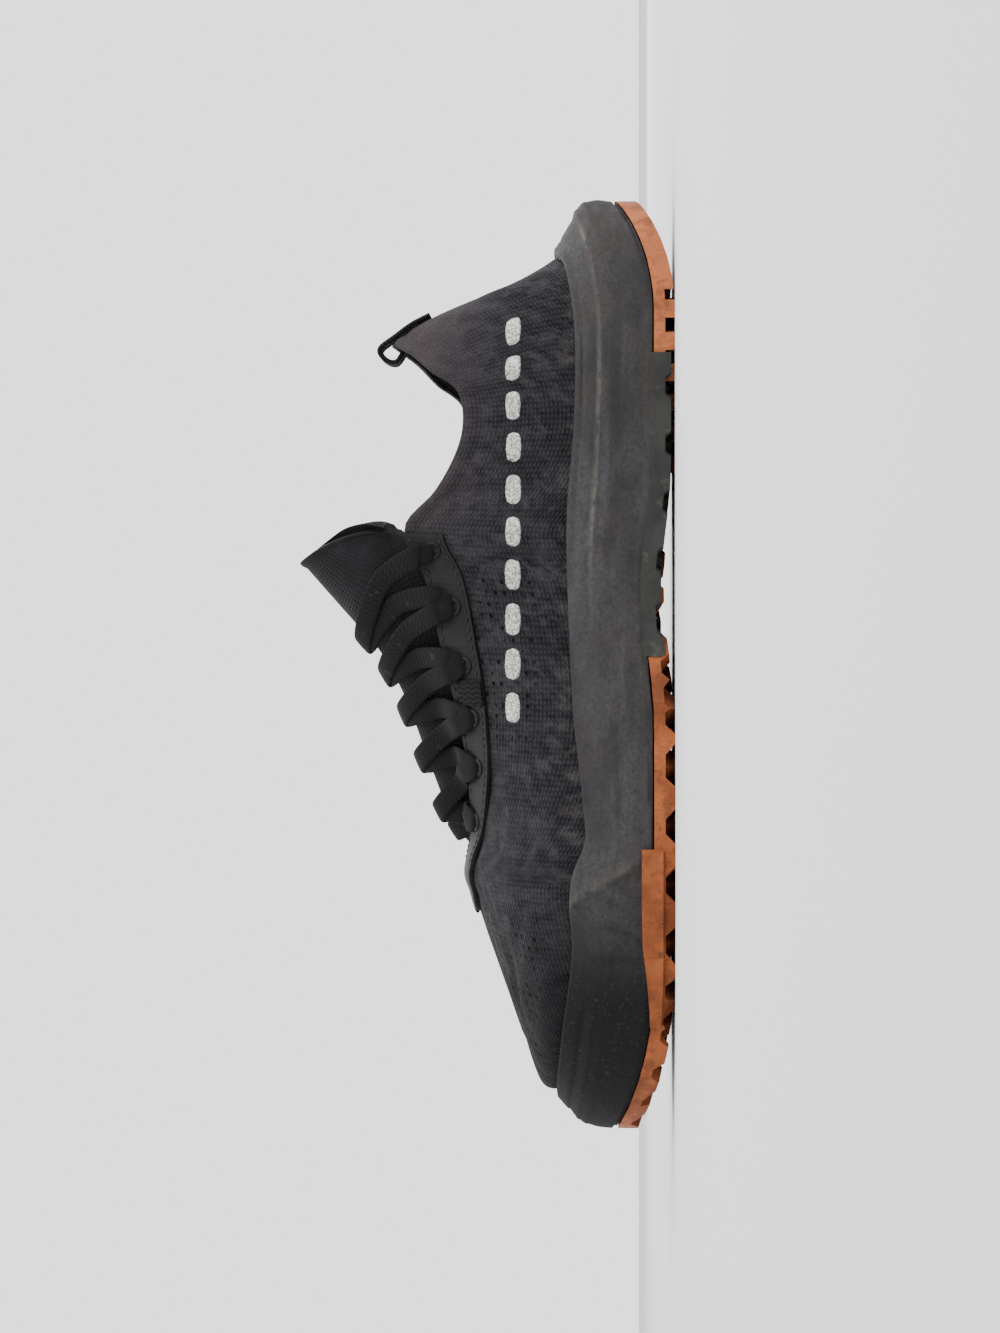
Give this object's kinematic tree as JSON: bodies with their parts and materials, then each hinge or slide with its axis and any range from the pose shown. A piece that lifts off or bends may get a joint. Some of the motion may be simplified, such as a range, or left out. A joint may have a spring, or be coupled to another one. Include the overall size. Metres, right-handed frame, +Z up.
{
  "type": "sneaker",
  "caption": "Low knit running shoe for the left foot with a foam midsole, gum rubber tread, laces and a heel pull loop.",
  "frame": {"origin": "on the floor, on the tread bar under the middle of the heel", "axes": "+Z up, +Y to the toe, -X to the outer side of the left foot"},
  "size_m": [0.1132, 0.3004, 0.121],
  "materials": {
    "gum_rubber": "matt moulded gum rubber",
    "foam": "matt moulded foam",
    "knit": "matt knitted cloth",
    "overlay": "smooth bonded film",
    "padding": "padded cloth",
    "webbing": "woven tape",
    "insole_cloth": "brushed cloth"
  },
  "bodies": {
    "root": {"midsole": "foam", "outsole_heel": "gum_rubber", "outsole_forefoot": "gum_rubber", "upper": "knit", "insole": "insole_cloth", "tongue": "padding", "eyestay": "overlay", "laces": "webbing", "pull_loop": "webbing", "side_tab": "overlay"}
  },
  "joints": []
}
